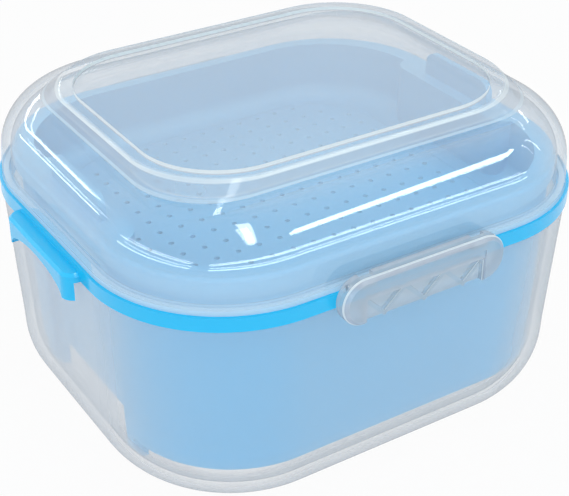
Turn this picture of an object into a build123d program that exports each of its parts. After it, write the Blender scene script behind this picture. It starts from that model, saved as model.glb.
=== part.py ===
from build123d import *
import os
from math import radians, tan

# A leak-tight case that soaks and drains a denture. A clear tub holds a blue bowl that
# stands on four feet, a strainer tray sits on the bowl, and a clear lid closes over a
# coloured collar. Two clips on the lid reach down over the collar and hold it shut.
# Millimetres. Origin: middle of the base on the table. +Z up, -Y towards the front clip.

os.makedirs("parts", exist_ok=True)

# ---------------------------------------------------------------- driving dimensions

# collar: its outline is the footprint of the closed case
collar_length = 100.0
collar_width = 88.0
collar_corner = 27.0
collar_thickness = 2.8

# grip tab on each end of the collar
tab_length = 27.0            # along Y
tab_reach = 2.8              # out from the collar's edge
tab_shelf = 2.2              # in from the collar's bore
tab_drop = 1.1               # below the collar's top
tab_outer_corner = 2.6
tab_inner_corner = 2.1
tab_edge = 0.55              # bevel round the outer top edge
lip_thickness = 1.6
lip_depth = 5.3              # below the tab's top, at the two feet
arch_rise = 3.3              # of the lip's lower edge, between the feet
arch_length = 22.0

# tub
tub_height = 44.0
tub_wall = 2.0
tub_setback = 0.4            # in from the collar's edge
tub_draft = 1.5              # degrees
tub_base_radius = 13.9
tub_corner_growth = 1.6      # of the corner's radius, from the mouth to where the base curves in

# catch rib on the tub behind each clip
catch_length = 26.0
catch_height = 1.2
catch_drop = 0.8             # of the rib's top, below the tub's mouth
catch_gap = 0.05             # between the rib and the nib that rides past it

# seals
seal_width = 0.9
seal_height = 0.7
seal_inset = 0.75            # from the collar's edge to the seal
groove_gap = 0.05

# bowl
bowl_side_gap = 0.7          # to the tub's mouth, along Y
bowl_end_gap = 1.8           # to the tub's mouth, along X
bowl_corner = 24.0
bowl_wall = 1.4
bowl_draft = 1.5             # degrees
bowl_underside = 10.8
bowl_rim_rise = 2.7          # above the collar's top
bowl_floor_radius = 4.0
finger_recess_margin = 1.9   # in the bowl's ends, from the recess to where a corner starts
finger_recess_depth = 3.0
finger_recess_radius = 1.2
finger_recess_edge = 0.6
foot_length = 4.2            # along Y
foot_width = 4.0             # along X
foot_height = 5.0            # before the tub's curved floor trims it
foot_seat_gap = 0.25         # to the tub's curved floor

# strainer tray
tray_gap = 0.4               # to the inside of the bowl
tray_wall = 1.3
tray_rim_height = 2.9
tray_rim_gap = 0.6           # to the mouth of the lid
tray_rim_radius = 0.8
strainer_depth = 12.4        # from the tray's top to the strainer plate's top
tray_floor_radius = 3.6       # between the tray's wall and its floor
ledge_width = 1.5
ledge_thickness = 1.2
ear_length = 20.0            # along Y
ear_height = 5.0             # above the tray's rim
ear_corner = 2.5
ear_thickness = 1.4
ear_setback = 3.0            # in from the end of the tray's rim

# strainer plate
plate_thickness = 1.4
plate_gap = 0.12
plate_corner = 15.0
drain_pitch = 4.58
drain_hole = 1.1
drain_margin = 1.4           # from the plate's edge to the nearest hole's middle

# lid
lid_setback = 0.6            # in from the collar's edge
lid_wall = 1.8
lid_draft = 3.0              # degrees
lid_height = 15.6            # from the collar to the shoulder's top
lid_shoulder_radius = 11.2
panel_length = 81.2          # at the shoulder's top
panel_width = 63.8
panel_corner = 15.0
panel_narrowing = 1.8        # each side, up to the ridge's top
panel_corner_growth = 3.0    # up to the ridge's top
panel_rise = 2.8             # ridge top above the shoulder's top
ridge_width = 2.6
ridge_height = 0.9
ridge_radius = 0.8

# clips
clip_length = 34.8
clip_height = 9.2
clip_thickness = 3.0
clip_gap = 0.15              # from the collar to the clip's back
clip_top_rise = 2.9          # above the collar's top
clip_bevel = 0.8             # round the front face
clip_back_radius = 0.3
grip_step_depth = 0.35
grip_step_height = 1.9
window_length = 25.6
window_height = 4.9          # open at the clip's lower edge
window_depth = 1.8
truss_bays = 6
truss_width = 0.8
truss_height = 1.0
nib_height = 1.0
nib_length = 24.0

# clip hinge
pin_radius = 0.5
pin_length = 31.6
pin_clearance = 0.05
pin_below_top = 1.5          # pin axis below the clip's top
pin_from_back = 1.15         # pin axis in front of the clip's back
lug_radius = 0.9
lug_web = 0.75               # arm from the lid's wall to the lower half of the barrel
lug_width = 2.4
lug_spacing = 24.0
lug_gap = 0.25               # each side of a lug, and round its barrel

# ---------------------------------------------------------------- levels and places

collar_top = tub_height + collar_thickness
catch_top = tub_height - catch_drop
tab_top = collar_top - tab_drop
bowl_rim = collar_top + bowl_rim_rise
bowl_floor = bowl_underside + bowl_wall
tray_top = bowl_rim + tray_rim_height
plate_top = tray_top - strainer_depth
ledge_top = plate_top - plate_thickness
tray_underside = ledge_top - ledge_thickness
lid_shoulder_top = collar_top + lid_height
panel_top = lid_shoulder_top + panel_rise - ridge_height

rim_inset = tub_setback + tub_wall       # from the collar's edge to the mouth of the case
mouth_length = collar_length - 2 * rim_inset
mouth_width = collar_width - 2 * rim_inset
bowl_length = mouth_length - 2 * bowl_end_gap
bowl_width = mouth_width - 2 * bowl_side_gap
finger_recess_length = bowl_width - 2 * (bowl_corner + finger_recess_margin)

clip_top = collar_top + clip_top_rise
clip_middle = clip_top - clip_height / 2
clip_bottom = clip_top - clip_height
clip_back = collar_width / 2 + clip_gap
clip_face = clip_back + clip_thickness
pin_height = clip_top - pin_below_top
pin_depth = clip_back + pin_from_back
lid_side_at_pin = collar_width / 2 - lid_setback - (pin_height - collar_top) * tan(radians(lid_draft))


# ---------------------------------------------------------------- shared shapes

def open_block(length, width, corner, mouth, depth, draft, corner_growth, edge_radius):
    """A drafted block that hangs down from its mouth, with a rounded bottom edge."""
    upright = depth - 1.2 * edge_radius
    narrowing = upright * tan(radians(draft))
    with BuildPart() as block:
        with BuildSketch(Plane.XY.offset(mouth)):
            RectangleRounded(length, width, corner)
        with BuildSketch(Plane.XY.offset(mouth - upright)):
            RectangleRounded(length - 2 * narrowing, width - 2 * narrowing, corner + corner_growth)
        loft(ruled=True)
    with BuildPart() as foot:
        with BuildSketch(Plane.XY.offset(mouth - upright)):
            RectangleRounded(length - 2 * narrowing, width - 2 * narrowing, corner + corner_growth)
        extrude(amount=upright - depth, taper=draft)
        fillet(foot.faces().sort_by(Axis.Z)[0].edges(), edge_radius)
        add(block.part)
    return foot.part


def domed_block(inset, base, top, shoulder_radius):
    """A drafted block that stands on the collar, with a rounded top edge."""
    with BuildPart() as block:
        with BuildSketch(Plane.XY.offset(base)):
            RectangleRounded(collar_length - 2 * inset, collar_width - 2 * inset, collar_corner - inset)
        extrude(amount=top - base, taper=lid_draft)
        fillet(block.faces().sort_by(Axis.Z)[-1].edges(), shoulder_radius)
    return block.part


def panel_block(inset, top):
    """The raised panel of the lid, from below the shoulder up to the given level."""
    with BuildPart() as block:
        for level in (lid_shoulder_top - panel_rise, top):
            climb = (level - lid_shoulder_top) / panel_rise
            with BuildSketch(Plane.XY.offset(level)):
                RectangleRounded(
                    panel_length - 2 * panel_narrowing * climb - 2 * inset,
                    panel_width - 2 * panel_narrowing * climb - 2 * inset,
                    panel_corner + panel_corner_growth * climb - inset,
                )
        loft(ruled=True)
    return block.part


def finger_recesses(inset):
    """Plan of the two cuts that make the finger recesses, as seen from inset inside the bowl."""
    with BuildSketch() as cuts:
        with GridLocations(bowl_length, 0, 2, 1):
            RectangleRounded(
                2 * (finger_recess_depth + inset), finger_recess_length + 2 * inset, finger_recess_radius + inset
            )
    return cuts.sketch


def blue_outline(inset):
    """Plan of the bowl with its finger recesses, moved inwards by inset."""
    cuts = finger_recesses(inset)
    with BuildSketch() as outline:
        RectangleRounded(bowl_length - 2 * inset, bowl_width - 2 * inset, bowl_corner - inset)
        add(cuts, mode=Mode.SUBTRACT)
        if inset < finger_recess_edge:
            end_corners = outline.vertices().filter_by(
                lambda v: abs(v.X) > bowl_length / 2 - inset - 0.01
            )
            mouth_corners = end_corners.sort_by(lambda v: abs(v.Y))[:4]
            fillet(mouth_corners, finger_recess_edge - inset)
    return outline.sketch


def blue_block(inset, bottom, edge_radius=0.0):
    """The bowl's plan drawn down from its rim with draft, round the foot by edge_radius."""
    cuts = finger_recesses(inset)
    with BuildPart() as block:
        with BuildSketch(Plane.XY.offset(bowl_rim)):
            RectangleRounded(bowl_length - 2 * inset, bowl_width - 2 * inset, bowl_corner - inset)
        extrude(amount=bottom - bowl_rim, taper=bowl_draft)
        if edge_radius > 0:
            fillet(block.faces().sort_by(Axis.Z)[0].edges(), edge_radius)
        with BuildSketch(Plane.XY.offset(bowl_rim)):
            add(cuts)
        extrude(amount=bottom - bowl_rim, taper=-bowl_draft, mode=Mode.SUBTRACT)
        if inset < finger_recess_edge:
            upright_edges = block.edges().filter_by(
                lambda e: e.length > (bowl_rim - bottom) * 0.9
                and abs(e.center().Y) < bowl_width / 2 - bowl_corner - 0.1
            )
            mouth_edges = upright_edges.sort_by(lambda e: abs(e.center().X))[-4:]
            fillet(mouth_edges, finger_recess_edge - inset)
    return block.part


def seal_ring(inset, base, height, gap):
    """A band that follows the collar, gap wider on each side than the seal."""
    outer = inset - gap
    inner = inset + seal_width + gap
    with BuildPart() as band:
        with BuildSketch(Plane.XY.offset(base)):
            RectangleRounded(collar_length - 2 * outer, collar_width - 2 * outer, collar_corner - outer)
            RectangleRounded(
                collar_length - 2 * inner, collar_width - 2 * inner, collar_corner - inner, mode=Mode.SUBTRACT
            )
        extrude(amount=height)
    return band.part


# ---------------------------------------------------------------- tub

tub_length = collar_length - 2 * tub_setback
tub_width = collar_width - 2 * tub_setback
tub_corner = collar_corner - tub_setback


def tub_cavity(gap):
    """The inside of the tub, or what stays clear of it by gap."""
    shrink = tub_wall + gap
    return open_block(
        tub_length - 2 * shrink,
        tub_width - 2 * shrink,
        tub_corner - shrink,
        tub_height,
        tub_height - shrink,
        tub_draft,
        tub_corner_growth,
        tub_base_radius - shrink,
    )


def tub_outside():
    """The tub as a solid block."""
    return open_block(
        tub_length,
        tub_width,
        tub_corner,
        tub_height,
        tub_height,
        tub_draft,
        tub_corner_growth,
        tub_base_radius,
    )


catch_face = clip_back - clip_gap        # flush with the collar's edge
tub_side_at_catch = tub_width / 2 - (tub_height - catch_top + catch_height) * tan(radians(tub_draft))

with BuildPart() as tub:
    add(tub_outside())
    with BuildSketch(Plane.XZ.offset(tub_side_at_catch - tub_wall / 2)):
        with Locations((0, catch_top - catch_height / 2)):
            SlotOverall(catch_length, catch_height)
    catch_rib = extrude(amount=catch_face - tub_side_at_catch + tub_wall / 2)
    mirror(catch_rib, about=Plane.XZ)
    add(tub_cavity(0), mode=Mode.SUBTRACT)

# ---------------------------------------------------------------- collar with its grip tabs

tab_end = collar_length / 2 + tab_reach
shelf_end = mouth_length / 2 - tab_shelf
lip_bottom = tab_top - lip_depth

with BuildSketch() as tab_plan:
    with Locations(((tab_end + shelf_end) / 2, 0)):
        Rectangle(tab_end - shelf_end, tab_length)
    fillet(tab_plan.vertices().group_by(Axis.X)[0], tab_inner_corner)
    fillet(tab_plan.vertices().group_by(Axis.X)[-1], tab_outer_corner)

with BuildPart() as tab:
    with BuildSketch(Plane.XY.offset(tub_height)):
        add(tab_plan.sketch_local)
    extrude(amount=tab_top - tub_height)
    with BuildSketch(Plane.XY.offset(lip_bottom)):
        add(tab_plan.sketch_local)
        with Locations((tab_end - lip_thickness / 2, 0)):
            Rectangle(lip_thickness, tab_length, mode=Mode.INTERSECT)
    extrude(amount=lip_depth)
    with BuildSketch(Plane.YZ.offset(tab_end - 2 * lip_thickness)):
        with Locations((0, lip_bottom)):
            Ellipse(arch_length / 2, arch_rise)
    extrude(amount=3 * lip_thickness, mode=Mode.SUBTRACT)
    outer_top_edges = tab.faces().sort_by(Axis.Z)[-1].edges().filter_by(
        lambda e: e.center().X > tab_end - tab_outer_corner
    )
    chamfer(outer_top_edges, tab_edge)

with BuildPart() as grip_collar:
    with BuildSketch(Plane.XY.offset(tub_height)):
        RectangleRounded(collar_length, collar_width, collar_corner)
        RectangleRounded(mouth_length, mouth_width, collar_corner - rim_inset, mode=Mode.SUBTRACT)
    extrude(amount=collar_thickness)
    add(tab.part)
    mirror(tab.part, about=Plane.YZ)
    add(seal_ring(seal_inset, tub_height, seal_height + groove_gap, groove_gap), mode=Mode.SUBTRACT)

with BuildPart() as tub_seal:
    add(seal_ring(seal_inset, tub_height, seal_height, 0))

# ---------------------------------------------------------------- bowl

foot_bottom = bowl_underside - foot_height
foot_x = bowl_length / 2 - foot_width / 2
foot_y = finger_recess_length / 2 + foot_length / 2

with BuildPart() as tub_keepout:
    add(tub_outside())
    add(tub_cavity(foot_seat_gap), mode=Mode.SUBTRACT)

with BuildPart() as soaking_bowl:
    add(blue_block(0, foot_bottom))
    with BuildSketch(Plane.XY.offset(foot_bottom)):
        Rectangle(collar_length, collar_width)
        with GridLocations(2 * foot_x, 2 * foot_y, 2, 2):
            Rectangle(foot_width, foot_length, mode=Mode.SUBTRACT)
    extrude(amount=foot_height, mode=Mode.SUBTRACT)
    add(tub_keepout.part, mode=Mode.SUBTRACT)
    add(blue_block(bowl_wall, bowl_floor, bowl_floor_radius), mode=Mode.SUBTRACT)

# ---------------------------------------------------------------- strainer tray

tray_inset = bowl_wall + tray_gap        # from the bowl's outline to the tray's drop wall
tray_inside = tray_inset + tray_wall
tray_draft_loss = (bowl_rim - plate_top) * tan(radians(bowl_draft))
floor_inset = tray_inside + tray_draft_loss + tray_floor_radius
plate_length = bowl_length - 2 * (floor_inset + finger_recess_depth + plate_gap)
plate_width = bowl_width - 2 * (floor_inset + plate_gap)
tray_rim_length = mouth_length - 2 * tray_rim_gap
tray_rim_width = mouth_width - 2 * tray_rim_gap
tray_rim_corner = collar_corner - rim_inset - tray_rim_gap
ear_face = tray_rim_length / 2 - ear_setback

with BuildPart() as strainer_tray:
    with BuildSketch(Plane.XY.offset(bowl_rim)):
        RectangleRounded(tray_rim_length, tray_rim_width, tray_rim_corner)
    extrude(amount=tray_rim_height)
    rim_edges = strainer_tray.faces().sort_by(Axis.Z)[-1].edges()
    fillet(rim_edges, tray_rim_radius)
    add(blue_block(tray_inset, tray_underside))
    with BuildSketch(Plane.XY.offset(tray_top)):
        add(blue_outline(tray_inside))
    extrude(amount=-tray_rim_height, mode=Mode.SUBTRACT)
    add(blue_block(tray_inside, plate_top, tray_floor_radius), mode=Mode.SUBTRACT)
    with BuildSketch(Plane.XY.offset(ledge_top)):
        RectangleRounded(plate_length + 2 * plate_gap, plate_width + 2 * plate_gap, plate_corner + plate_gap)
    extrude(amount=plate_thickness, mode=Mode.SUBTRACT)
    with BuildSketch(Plane.XY.offset(tray_underside)):
        RectangleRounded(
            plate_length - 2 * ledge_width, plate_width - 2 * ledge_width, plate_corner - ledge_width
        )
    extrude(amount=ledge_thickness, mode=Mode.SUBTRACT)
    with BuildSketch(Plane.YZ.offset(ear_face - ear_thickness)) as ear_plan:
        with Locations((0, (tray_top + ear_height + bowl_rim) / 2)):
            Rectangle(ear_length, tray_top + ear_height - bowl_rim)
        fillet(ear_plan.vertices().group_by(Axis.Y)[-1], ear_corner)
    ear = extrude(amount=ear_thickness)
    mirror(ear, about=Plane.YZ)

# ---------------------------------------------------------------- strainer plate

column_count = int((plate_length / 2 - drain_margin) // drain_pitch)
row_count = int((plate_width / 2 - drain_margin) // drain_pitch)


def hole_fits(x, y):
    """True where a drain hole's middle is at least drain_margin inside the plate's rounded corner."""
    past_x = abs(x) - (plate_length / 2 - plate_corner)
    past_y = abs(y) - (plate_width / 2 - plate_corner)
    if past_x <= 0 or past_y <= 0:
        return True
    return (past_x ** 2 + past_y ** 2) ** 0.5 <= plate_corner - drain_margin


drain_places = [
    (column * drain_pitch, row * drain_pitch)
    for column in range(-column_count, column_count + 1)
    for row in range(-row_count, row_count + 1)
    if hole_fits(column * drain_pitch, row * drain_pitch)
]

with BuildPart() as strainer_plate:
    with BuildSketch(Plane.XY.offset(ledge_top)):
        RectangleRounded(plate_length, plate_width, plate_corner)
        with Locations(*drain_places):
            Circle(drain_hole / 2, mode=Mode.SUBTRACT)
    extrude(amount=plate_thickness)

# ---------------------------------------------------------------- lid

lug_wall_overlap = lid_wall / 2
lug_reach = pin_depth - lid_side_at_pin + lug_wall_overlap

with BuildPart() as lid:
    add(domed_block(lid_setback, collar_top, lid_shoulder_top, lid_shoulder_radius))
    add(panel_block(0, lid_shoulder_top + panel_rise))
    ridge_edges = lid.faces().sort_by(Axis.Z)[-1].edges()
    fillet(ridge_edges, ridge_radius)
    with BuildSketch(Plane.XY.offset(panel_top)):
        RectangleRounded(
            panel_length - 2 * (panel_narrowing + ridge_width),
            panel_width - 2 * (panel_narrowing + ridge_width),
            panel_corner + panel_corner_growth - ridge_width,
        )
    extrude(amount=2 * ridge_height, mode=Mode.SUBTRACT)
    for side in (-1, 1):
        for lug_x in (-lug_spacing / 2, lug_spacing / 2):
            with BuildSketch(Plane.YZ.offset(lug_x - lug_width / 2)):
                with Locations((side * pin_depth, pin_height)):
                    Circle(lug_radius)
                with Locations((side * (pin_depth - lug_reach / 2), pin_height - lug_radius + lug_web / 2)):
                    Rectangle(lug_reach, lug_web)
                with Locations((side * pin_depth, pin_height)):
                    Circle(pin_radius + pin_clearance, mode=Mode.SUBTRACT)
            extrude(amount=lug_width)
    add(
        domed_block(
            lid_setback + lid_wall, collar_top, lid_shoulder_top - lid_wall, lid_shoulder_radius - lid_wall
        ),
        mode=Mode.SUBTRACT,
    )
    add(panel_block(lid_wall, panel_top - lid_wall), mode=Mode.SUBTRACT)
    lid_seal_inset = lid_setback + (lid_wall - seal_width) / 2
    add(seal_ring(lid_seal_inset, collar_top, seal_height + groove_gap, groove_gap), mode=Mode.SUBTRACT)

with BuildPart() as lid_seal:
    add(seal_ring(lid_seal_inset, collar_top, seal_height, 0))

# ---------------------------------------------------------------- clips and their pins

window_top = clip_bottom + window_height
nib_reach = clip_back - catch_face - catch_gap
notch_radius = lug_radius + lug_gap

with BuildPart() as front_clip:
    with BuildSketch(Plane.XZ.offset(clip_back)):
        with Locations((0, clip_middle)):
            SlotOverall(clip_length, clip_height)
    extrude(amount=clip_thickness)
    chamfer(front_clip.faces().sort_by(Axis.Y)[0].edges(), clip_bevel)
    fillet(front_clip.faces().sort_by(Axis.Y)[-1].edges(), clip_back_radius)
    with BuildSketch(Plane.XZ.offset(clip_face)):
        with Locations((0, window_top)):
            Rectangle(window_length, grip_step_height, align=(Align.CENTER, Align.MIN))
    extrude(amount=-grip_step_depth, mode=Mode.SUBTRACT)
    with BuildSketch(Plane.XZ.offset(clip_face)):
        with Locations((0, window_top)):
            Rectangle(window_length, 2 * window_height, align=(Align.CENTER, Align.MAX))
    extrude(amount=-window_depth, mode=Mode.SUBTRACT)
    with BuildSketch(Plane.XZ.offset(clip_face - window_depth)):
        bay = window_length / truss_bays
        low = clip_bottom + truss_width
        with BuildLine():
            Polyline(*[
                (-window_length / 2 + step * bay, window_top if step % 2 == 0 else low)
                for step in range(truss_bays + 1)
            ])
        trace(line_width=truss_width)
    extrude(amount=truss_height)
    with BuildSketch(Plane.XZ.offset(catch_face + catch_gap)):
        with Locations((0, catch_top - catch_height - catch_gap - nib_height / 2)):
            SlotOverall(nib_length, nib_height)
    extrude(amount=nib_reach + clip_thickness / 4)
    for lug_x in (-lug_spacing / 2, lug_spacing / 2):
        with BuildSketch(Plane.YZ.offset(lug_x - lug_width / 2 - lug_gap)):
            with Locations((-pin_depth, pin_height)):
                Circle(notch_radius)
            with Locations((-pin_depth, pin_height - notch_radius)):
                Rectangle(2 * pin_from_back, clip_height, align=(Align.MIN, Align.MIN))
        extrude(amount=lug_width + 2 * lug_gap, mode=Mode.SUBTRACT)
    with BuildSketch(Plane.YZ.offset(-clip_length / 2)):
        with Locations((-pin_depth, pin_height)):
            Circle(pin_radius + pin_clearance)
    extrude(amount=clip_length, mode=Mode.SUBTRACT)

with BuildPart() as rear_clip:
    mirror(front_clip.part, about=Plane.XZ)

with BuildPart() as front_pin:
    with BuildSketch(Plane.YZ.offset(-pin_length / 2)):
        with Locations((-pin_depth, pin_height)):
            Circle(pin_radius)
    extrude(amount=pin_length)

with BuildPart() as rear_pin:
    mirror(front_pin.part, about=Plane.XZ)

# ---------------------------------------------------------------- export

tub.part.label = "tub"
grip_collar.part.label = "grip_collar"
tub_seal.part.label = "tub_seal"
soaking_bowl.part.label = "soaking_bowl"
strainer_tray.part.label = "strainer_tray"
strainer_plate.part.label = "strainer_plate"
lid.part.label = "lid"
lid_seal.part.label = "lid_seal"
front_clip.part.label = "front_clip"
rear_clip.part.label = "rear_clip"
front_pin.part.label = "front_clip_pin"
rear_pin.part.label = "rear_clip_pin"

pieces = [
    tub, grip_collar, tub_seal, soaking_bowl, strainer_tray, strainer_plate,
    lid, lid_seal, front_clip, rear_clip, front_pin, rear_pin,
]
for piece in pieces:
    export_step(piece.part, f"parts/{piece.part.label}.step")
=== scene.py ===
from math import radians

import bpy
from mathutils import Matrix, Vector

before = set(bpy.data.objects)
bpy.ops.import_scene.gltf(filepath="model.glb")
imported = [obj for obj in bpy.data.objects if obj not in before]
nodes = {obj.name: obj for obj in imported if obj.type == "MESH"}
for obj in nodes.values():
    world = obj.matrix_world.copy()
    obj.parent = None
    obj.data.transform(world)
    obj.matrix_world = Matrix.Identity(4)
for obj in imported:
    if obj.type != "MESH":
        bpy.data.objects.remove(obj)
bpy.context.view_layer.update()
bpy.ops.object.select_all(action="DESELECT")
print("frame loaded:", len(nodes), "nodes")


# one socket of a node tree, with the arithmetic that the finishes below use
class Wire:
    def __init__(self, tree, socket):
        self.tree = tree
        self.socket = socket

    def maths(self, operation, other, swap=False):
        node = self.tree.nodes.new("ShaderNodeMath")
        node.operation = operation
        pair = (other, self) if swap else (self, other)
        for place, value in zip(node.inputs, pair):
            if isinstance(value, Wire):
                self.tree.links.new(value.socket, place)
            elif value is not None:
                place.default_value = value
        return Wire(self.tree, node.outputs[0])

    def __add__(self, other):
        return self.maths("ADD", other)

    def __radd__(self, other):
        return self.maths("ADD", other, swap=True)

    def __sub__(self, other):
        return self.maths("SUBTRACT", other)

    def __rsub__(self, other):
        return self.maths("SUBTRACT", other, swap=True)

    def __mul__(self, other):
        return self.maths("MULTIPLY", other)

    def __rmul__(self, other):
        return self.maths("MULTIPLY", other, swap=True)

    def __pow__(self, other):
        return self.maths("POWER", other)

    def least(self, other):
        return self.maths("MINIMUM", other)

    def most(self, other):
        return self.maths("MAXIMUM", other)

    def size(self):
        return self.maths("ABSOLUTE", None)


# the nodes of a material or a world under construction: all but plain maths come from node()
class Finish:
    def __init__(self, owner):
        owner.use_nodes = True
        self.owner = owner
        self.tree = owner.node_tree
        self.tree.nodes.clear()

    def node(self, kind, settings=None, inputs=None, output=0):
        made = self.tree.nodes.new(kind)
        for key, value in (settings or {}).items():
            setattr(made, key, value)
        for key, value in (inputs or {}).items():
            socket = made.inputs[key]
            if isinstance(value, Wire):
                self.tree.links.new(value.socket, socket)
            elif isinstance(value, tuple) and len(value) == 3 and socket.type == "RGBA":
                socket.default_value = (*value, 1)
            else:
                socket.default_value = value
        return Wire(self.tree, made.outputs[output]) if made.outputs else None

    def blend(self, factor, first, second):
        return self.node(
            "ShaderNodeMix", settings={"data_type": "RGBA"}, inputs={"Factor": factor, 6: first, 7: second}, output=2
        )

    def close(self, shader, outputKind="ShaderNodeOutputMaterial"):
        self.node(outputKind, inputs={"Surface": shader})
        return self.owner


def newFinish(name, viewColour):
    material = bpy.data.materials.new(name)
    material.diffuse_color = (*viewColour, 1)
    return Finish(material)


def place(finish):
    return finish.node("ShaderNodeTexCoord", output="Object")


# how far the surface is turned along an axis of the piece, from 0 to 1
def slope(finish, axis):
    turned = finish.node("ShaderNodeTexCoord", output="Normal")
    return finish.node("ShaderNodeSeparateXYZ", inputs={"Vector": turned}, output=axis).size()


def speckle(finish, scale, detail=3.0, roughness=0.5):
    return finish.node(
        "ShaderNodeTexNoise",
        inputs={"Vector": place(finish), "Scale": scale, "Detail": detail, "Roughness": roughness},
    )


# 1 for rays of the named kinds and 0 for the others
def raysOf(finish, *kinds):
    found = finish.node("ShaderNodeLightPath", output=kinds[0])
    for kind in kinds[1:]:
        found = found + finish.node("ShaderNodeLightPath", output=kind)
    return found.least(1.0)


# the share of a veil that is left for light on its way through, where lightPass is the share that goes through
def leftForLight(finish, lightPass):
    return 1 - lightPass * raysOf(finish, "Is Shadow Ray", "Is Diffuse Ray")


# 1 between two heights on the piece, or two distances from its middle plane along Y,
# fading to 0 over the given distance outside them
def bandFactor(finish, band):
    along = finish.node(
        "ShaderNodeSeparateXYZ", inputs={"Vector": place(finish)}, output=band["axis"]
    ).size()
    rise = finish.node("ShaderNodeMapRange", settings={"interpolation_type": "SMOOTHSTEP"}, inputs={
        "Value": along, "From Min": band["low"] - band["fade"], "From Max": band["low"],
    })
    fall = finish.node("ShaderNodeMapRange", settings={"interpolation_type": "SMOOTHSTEP"}, inputs={
        "Value": along, "From Min": band["high"], "From Max": band["high"] + band["fade"],
    })
    factor = rise * (1 - fall)
    if band["slopesOnly"]:
        factor = factor * (1 - slope(finish, band["axis"]) ** 4.0)
    return factor


# clear moulded plastic: a pale veil that thickens where it is seen edge-on, under a clear gloss, with a darker
# painted shade on the veil there.
# Most of the light that falls on it goes through to what it holds.
def clearPlastic(name, look):
    finish = newFinish(name, look["colour"])
    facing = finish.node("ShaderNodeLayerWeight", inputs={"Blend": 0.5}, output="Facing")
    flow = speckle(finish, look["flowScale"])
    veil = look["veil"] + look["edgeVeil"] * facing ** look["edgePower"]
    veil = (veil * (1 - look["flowAmount"] + 2 * look["flowAmount"] * flow)).least(look["mostVeil"])
    ripple = finish.node(
        "ShaderNodeBump",
        inputs={"Strength": look["rippleStrength"], "Distance": look["rippleDepth"], "Height": flow},
        output="Normal",
    )
    # painted shade: the veil's tone darkens where the surface is seen edge-on
    tone = finish.blend(facing ** look["rimShadePower"], look["colour"], look["rimShadeColour"])
    shine = look["faceShine"] + look["edgeShine"] * facing ** look["shinePower"]
    for band in look["bands"]:
        factor = bandFactor(finish, band)
        veil = veil + factor * (band["veil"] - veil)
        shine = shine * (1 - factor * band["dulling"])
        tone = finish.blend(factor, tone, band["colour"])
    left = leftForLight(finish, look["lightPass"])
    body = finish.node("ShaderNodeBsdfPrincipled", inputs={
        "Base Color": tone, "Roughness": look["bodyRoughness"], "IOR": look["ior"],
        "Specular IOR Level": 0.0, "Alpha": veil * left, "Normal": ripple,
    })
    gloss = finish.node("ShaderNodeBsdfPrincipled", inputs={
        "Base Color": (1.0, 1.0, 1.0), "Metallic": 1.0, "Roughness": look["glossRoughness"], "Normal": ripple,
    })
    return finish.close(finish.node("ShaderNodeMixShader", inputs={0: shine * left, 1: body, 2: gloss}))


clearLook = {
    "colour": (0.68, 0.73, 0.80),
    "veil": 0.06,
    "edgeVeil": 0.9,
    "edgePower": 2.4,
    "mostVeil": 0.9,
    "flowScale": 30.0,
    "flowAmount": 0.06,
    "rippleStrength": 0.02,
    "rippleDepth": 0.0003,
    "bodyRoughness": 0.5,
    "glossRoughness": 0.05,
    "ior": 1.49,
    "faceShine": 0.05,
    "edgeShine": 0.45,
    "shinePower": 5,
    "lightPass": 0.85,
    # the painted shade that the veil takes where it is seen edge-on
    "rimShadeColour": (0.22, 0.27, 0.33),
    "rimShadePower": 8.0,
    "bands": [],
}
lidBands = {
    # painted shade: the ridge's outer wall is painted a duller grey, with its gloss taken off
    "ridgeWallShade": {
        "axis": "Z", "low": 0.0625, "high": 0.0652, "fade": 0.0002, "slopesOnly": True,
        "veil": 0.55, "dulling": 1.0, "colour": (0.60, 0.62, 0.68),
    },
    # painted highlight: a thin pale blue line painted along the foot of the ridge
    "ridgeFootHighlight": {
        "axis": "Z", "low": 0.0624, "high": 0.0627, "fade": 0.0002, "slopesOnly": True,
        "veil": 0.65, "dulling": 0.9, "colour": (0.76, 0.87, 0.95),
    },
    "ridgeTop": {
        "axis": "Z", "low": 0.0650, "high": 0.0660, "fade": 0.0001, "slopesOnly": False,
        "veil": 0.24, "dulling": 0.0, "colour": (0.72, 0.80, 0.88),
    },
    # painted highlight: near-white lines painted on the rounded edges of the ridge's crest
    "ridgeEdgeHighlight": {
        "axis": "Z", "low": 0.0646, "high": 0.0660, "fade": 0.0002, "slopesOnly": True,
        "veil": 0.85, "dulling": 0.0, "colour": (0.92, 0.98, 1.0),
    },
    # painted light: a pale blue veil over the lid's lower wall, lifting the shade under the tray's rim that is seen
    # through it
    "skirtPaintedLight": {
        "axis": "Z", "low": 0.0478, "high": 0.0520, "fade": 0.0030, "slopesOnly": False,
        "veil": 0.24, "dulling": 0.0, "colour": (0.60, 0.80, 0.98),
    },
    # the lid's foot, painted a pale blue: partly the tone of the thick foot, and partly painted light that lifts the
    # shade above the collar
    "lip": {
        "axis": "Z", "low": 0.0467, "high": 0.0476, "fade": 0.0005, "slopesOnly": False,
        "veil": 0.8, "dulling": 0.3, "colour": (0.50, 0.74, 0.96),
    },
}
lidLook = dict(
    clearLook, veil=0.03, faceShine=0.08, rippleStrength=0.01, rimShadeColour=(0.12, 0.15, 0.19), rimShadePower=4.5,
    bands=list(lidBands.values()),
)
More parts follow.
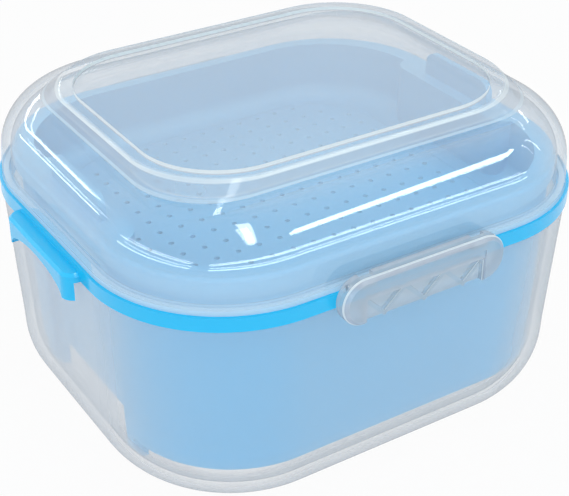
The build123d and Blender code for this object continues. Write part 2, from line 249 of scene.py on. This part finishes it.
clipBands = {
    "sides": {
        "axis": "Y", "low": 0.0441, "high": 0.0466, "fade": 0.0001, "slopesOnly": True,
        "veil": 0.50, "dulling": 0.0, "colour": (0.50, 0.56, 0.66),
    },
    "window": {
        "axis": "Y", "low": 0.0454, "high": 0.0464, "fade": 0.0001, "slopesOnly": False,
        "veil": 0.42, "dulling": 0.5, "colour": (0.46, 0.58, 0.70),
    },
    "face": {
        "axis": "Y", "low": 0.0467, "high": 0.0480, "fade": 0.0001, "slopesOnly": False,
        "veil": 0.50, "dulling": 0.2, "colour": (0.46, 0.53, 0.63),
    },
    "rounding": {
        "axis": "Y", "low": 0.0463, "high": 0.0480, "fade": 0.0001, "slopesOnly": True,
        "veil": 0.55, "dulling": 0.0, "colour": (0.54, 0.58, 0.70),
    },
    # painted highlight: near-white lines painted along the clip's rounded outline
    "outlineHighlight": {
        "axis": "Y", "low": 0.0463, "high": 0.0465, "fade": 0.0001, "slopesOnly": True,
        "veil": 0.85, "dulling": 0.0, "colour": (0.86, 0.93, 0.98),
    },
}
clipLook = dict(clearLook, flowScale=60.0, veil=0.30, bands=list(clipBands.values()))


# coloured plastic with a faint moulded texture and slow changes of tone, and where it is given, a lighter colour
# painted on upright faces as painted light. It lets some light through, so the hollows of the thin-walled pieces
# aren't dark.
def moulded(name, look):
    finish = newFinish(name, look["colour"])
    tone = speckle(finish, look["toneScale"])
    grain = speckle(finish, look["grainScale"], detail=2.0)
    colour = finish.blend(tone, look["colour"], look["deepColour"])
    # painted light: upright faces take a lighter colour, which lifts the shade in the drain holes
    if look["uprightPaintedLight"]:
        colour = finish.blend(1 - slope(finish, "Z"), colour, look["uprightPaintedLight"])
    bump = finish.node(
        "ShaderNodeBump",
        inputs={"Strength": look["grainStrength"], "Distance": look["grainDepth"], "Height": grain},
        output="Normal",
    )
    return finish.close(finish.node("ShaderNodeBsdfPrincipled", inputs={
        "Base Color": colour, "Roughness": look["roughness"] + look["roughnessSpread"] * tone,
        "IOR": look["ior"], "Coat Weight": look["coat"], "Coat Roughness": look["coatRoughness"], "Normal": bump,
        "Alpha": look["cover"] * leftForLight(finish, look["lightPass"]),
    }))


blueLook = {
    "colour": (0.14, 0.52, 0.88),
    "deepColour": (0.125, 0.49, 0.86),
    "uprightPaintedLight": None,          # the lighter tone painted on upright faces as painted light, where there is one
    "toneScale": 18.0,
    "grainScale": 900.0,
    "grainStrength": 0.08,
    "grainDepth": 0.0002,
    "roughness": 0.36,
    "roughnessSpread": 0.08,
    "ior": 1.49,
    "coat": 0.1,
    "coatRoughness": 0.2,
    "cover": 1.0,
    "lightPass": 0.76,
}
# painted light: the plate's upright faces, the walls of its drain holes, are painted a lighter blue than their shade
plateLook = dict(blueLook, lightPass=0.92, uprightPaintedLight=(0.20, 0.62, 0.98))
cyanLook = dict(
    blueLook, colour=(0.002, 0.57, 1.0), deepColour=(0.001, 0.53, 0.98), roughness=0.2, coat=0.3, coatRoughness=0.06
)
sealLook = dict(
    blueLook, colour=(0.62, 0.76, 0.86), deepColour=(0.56, 0.71, 0.82), roughness=0.5, coat=0.0, cover=0.35
)


def brushedSteel(name, look):
    finish = newFinish(name, look["colour"])
    stretched = finish.node("ShaderNodeMapping", inputs={"Vector": place(finish), "Scale": look["drawScale"]})
    drawn = finish.node(
        "ShaderNodeTexNoise", inputs={"Vector": stretched, "Scale": 1.0, "Detail": look["drawDetail"]}
    )
    return finish.close(finish.node("ShaderNodeBsdfPrincipled", inputs={
        "Base Color": look["colour"], "Metallic": 1.0,
        "Roughness": look["roughness"] + look["roughnessSpread"] * drawn,
    }))


steelLook = {
    "colour": (0.60, 0.60, 0.62),
    "drawScale": (40.0, 4000.0, 4000.0),      # drawn out along the wire
    "drawDetail": 2.0,
    "roughness": 0.22,
    "roughnessSpread": 0.2,
}

clear = clearPlastic("clearPlastic", clearLook)
lidClear = clearPlastic("lidPlastic", lidLook)
clipClear = clearPlastic("clipPlastic", clipLook)
blue = moulded("bluePlastic", blueLook)
plateBlue = moulded("platePlastic", plateLook)
cyan = moulded("cyanPlastic", cyanLook)
silicone = moulded("siliconeSeal", sealLook)
steel = brushedSteel("pinSteel", steelLook)
print("finishes made")


def dress(nodeName, material):
    piece = nodes[nodeName]
    if not piece.material_slots:
        piece.data.materials.append(material)
    for materialSlot in piece.material_slots:
        materialSlot.material = material


for nodeName, material in {
    "tub": clear, "lid": lidClear, "front_clip": clipClear, "rear_clip": clipClear,
    "grip_collar": cyan, "soaking_bowl": blue, "strainer_tray": blue, "strainer_plate": plateBlue,
    "tub_seal": silicone, "lid_seal": silicone, "front_clip_pin": steel, "rear_clip_pin": steel,
}.items():
    dress(nodeName, material)
print("nodes dressed")


# floor, backdrop and lamps
studio = {
    "floorSize": 6.0,
    "floorColour": (0.68, 0.69, 0.71),
    "floorRoughness": 0.9,
    "floorLift": 0.95,                    # how white the floor is to the eye
    "skyStrength": 0.41,
    "leastSky": 0.02,
    "skyGain": (-0.36, 0.0, 0.29),        # along X, Y and Z: brighter to the left and above
}
seenRays = ("Is Camera Ray", "Is Glossy Ray", "Is Transmission Ray")


def paleFloor():
    bpy.ops.mesh.primitive_plane_add(size=studio["floorSize"], location=(0, 0, 0))
    floor = bpy.context.object
    floor.name = "studioFloor"
    finish = newFinish("studioFloor", studio["floorColour"])
    seen = raysOf(finish, *seenRays)
    matt = finish.node("ShaderNodeBsdfPrincipled", inputs={
        "Base Color": studio["floorColour"], "Roughness": studio["floorRoughness"], "Specular IOR Level": 0.0,
    })
    white = finish.node("ShaderNodeEmission", inputs={"Color": (1.0, 1.0, 1.0), "Strength": 1.0})
    floor.data.materials.append(
        finish.close(finish.node("ShaderNodeMixShader", inputs={0: seen * studio["floorLift"], 1: matt, 2: white}))
    )


# white to the eye, and a dimmer light on the case that changes slowly with the direction
def whiteSky():
    world = bpy.data.worlds.new("studioSky")
    bpy.context.scene.world = world
    finish = Finish(world)
    seen = raysOf(finish, *seenRays)
    direction = finish.node("ShaderNodeTexCoord", output="Generated")
    light = studio["skyStrength"]
    for axis, gain in zip("XYZ", studio["skyGain"]):
        light = light + gain * finish.node("ShaderNodeSeparateXYZ", inputs={"Vector": direction}, output=axis)
    light = light.most(studio["leastSky"])
    background = finish.node("ShaderNodeBackground", inputs={
        "Color": (1.0, 1.0, 1.0), "Strength": light + (1 - light) * seen,
    })
    finish.close(background, outputKind="ShaderNodeOutputWorld")


# a flat soft light that faces the case, with its long side turned to lie along a direction
def softLamp(name, lamp):
    lampData = bpy.data.lights.new(name, "AREA")
    lampData.shape = "RECTANGLE"
    lampData.size, lampData.size_y = lamp["size"]
    lampData.energy = lamp["watts"]
    lampData.color = lamp["colour"]
    light = bpy.data.objects.new(name, lampData)
    bpy.context.collection.objects.link(light)
    backwards = (Vector(lamp["at"]) - Vector(lamp["towards"])).normalized()
    along = Vector(lamp["along"])
    along = (along - along.dot(backwards) * backwards).normalized()
    turn = Matrix((along, backwards.cross(along), backwards)).transposed()
    light.matrix_world = Matrix.Translation(lamp["at"]) @ turn.to_4x4()


lamps = {
    "frontStrip": {
        "at": (0.55, -0.42, 0.76), "towards": (0, -0.04, 0.06), "along": (0.18, 0.30, -0.02),
        "size": (0.44, 0.06), "watts": 1.0, "colour": (0.80, 0.97, 1.0),
    },
    "topSoftbox": {
        "at": (0.01, -0.40, 0.94), "towards": (-0.03, -0.037, 0.06), "along": (-0.13, -0.58, -0.245),
        "size": (0.62, 0.11), "watts": 1.5, "colour": (0.92, 0.99, 1.0),
    },
    "leftStrip": {
        "at": (-0.40, 0.80, 0.40), "towards": (-0.045, 0.0, 0.06), "along": (-0.17, -0.09, 0.03),
        "size": (0.20, 0.03), "watts": 0.2, "colour": (0.75, 0.95, 1.0),
    },
    "leftLowStrip": {
        "at": (-0.54, 0.80, 0.26), "towards": (-0.045, 0.0, 0.06), "along": (-0.11, -0.06, 0.0),
        "size": (0.15, 0.02), "watts": 0.1, "colour": (0.75, 0.95, 1.0),
    },
    "lowStrip": {
        "at": (0.04, -0.90, 0.22), "towards": (0, -0.04, 0.05), "along": (1.0, 0.0, 0.0),
        "size": (1.8, 0.036), "watts": 1.35, "colour": (0.80, 0.97, 1.0),
    },
    "middleStrip": {
        "at": (0.06, -0.88, 0.39), "towards": (0, -0.04, 0.05), "along": (1.0, 0.0, 0.0),
        "size": (1.8, 0.036), "watts": 1.35, "colour": (0.80, 0.97, 1.0),
    },
    "backStrip": {
        "at": (0.03, 0.93, 0.40), "towards": (-0.03, 0.02, 0.06), "along": (1.0, 0.0, 0.0),
        "size": (0.72, 0.04), "watts": 0.8, "colour": (0.92, 0.99, 1.0),
    },
    "rightStrip": {
        "at": (0.84, -0.15, 0.51), "towards": (0.03, -0.03, 0.06), "along": (-0.13, 0.19, 0.27),
        "size": (0.35, 0.015), "watts": 0.14, "colour": (0.92, 0.99, 1.0),
    },
    "rightBackStrip": {
        "at": (0.74, 0.43, 0.52), "towards": (0.03, -0.03, 0.06), "along": (-0.15, 0.34, -0.08),
        "size": (0.35, 0.015), "watts": 0.14, "colour": (0.92, 0.99, 1.0),
    },
    "sideLowStrip": {
        "at": (-0.95, -0.08, 0.22), "towards": (-0.04, 0.0, 0.05), "along": (0.0, 1.0, 0.0),
        "size": (1.1, 0.034), "watts": 0.65, "colour": (0.85, 0.98, 1.0),
    },
    "sideMiddleStrip": {
        "at": (-0.93, -0.08, 0.39), "towards": (-0.04, 0.0, 0.05), "along": (0.0, 1.0, 0.0),
        "size": (1.1, 0.034), "watts": 0.65, "colour": (0.85, 0.98, 1.0),
    },
}

paleFloor()
whiteSky()
for lampName, lamp in lamps.items():
    softLamp(lampName, lamp)

eye = {
    "at": (-0.12773, -0.20205, 0.17340),
    "azimuth": -32.41,
    "elevation": 31.38,
    "lens": 87.0,
    "sensorWidth": 36.0,
    "nearest": 0.01,
}
camera = bpy.data.objects.new("productCamera", bpy.data.cameras.new("productCamera"))
bpy.context.collection.objects.link(camera)
camera.data.sensor_width = eye["sensorWidth"]
camera.data.sensor_fit = "HORIZONTAL"
camera.data.lens = eye["lens"]
camera.data.clip_start = eye["nearest"]
camera.location = eye["at"]
camera.rotation_euler = (radians(90 - eye["elevation"]), 0, radians(eye["azimuth"]))
bpy.context.scene.camera = camera
bpy.context.scene.view_settings.view_transform = "Standard"
print("studio set")
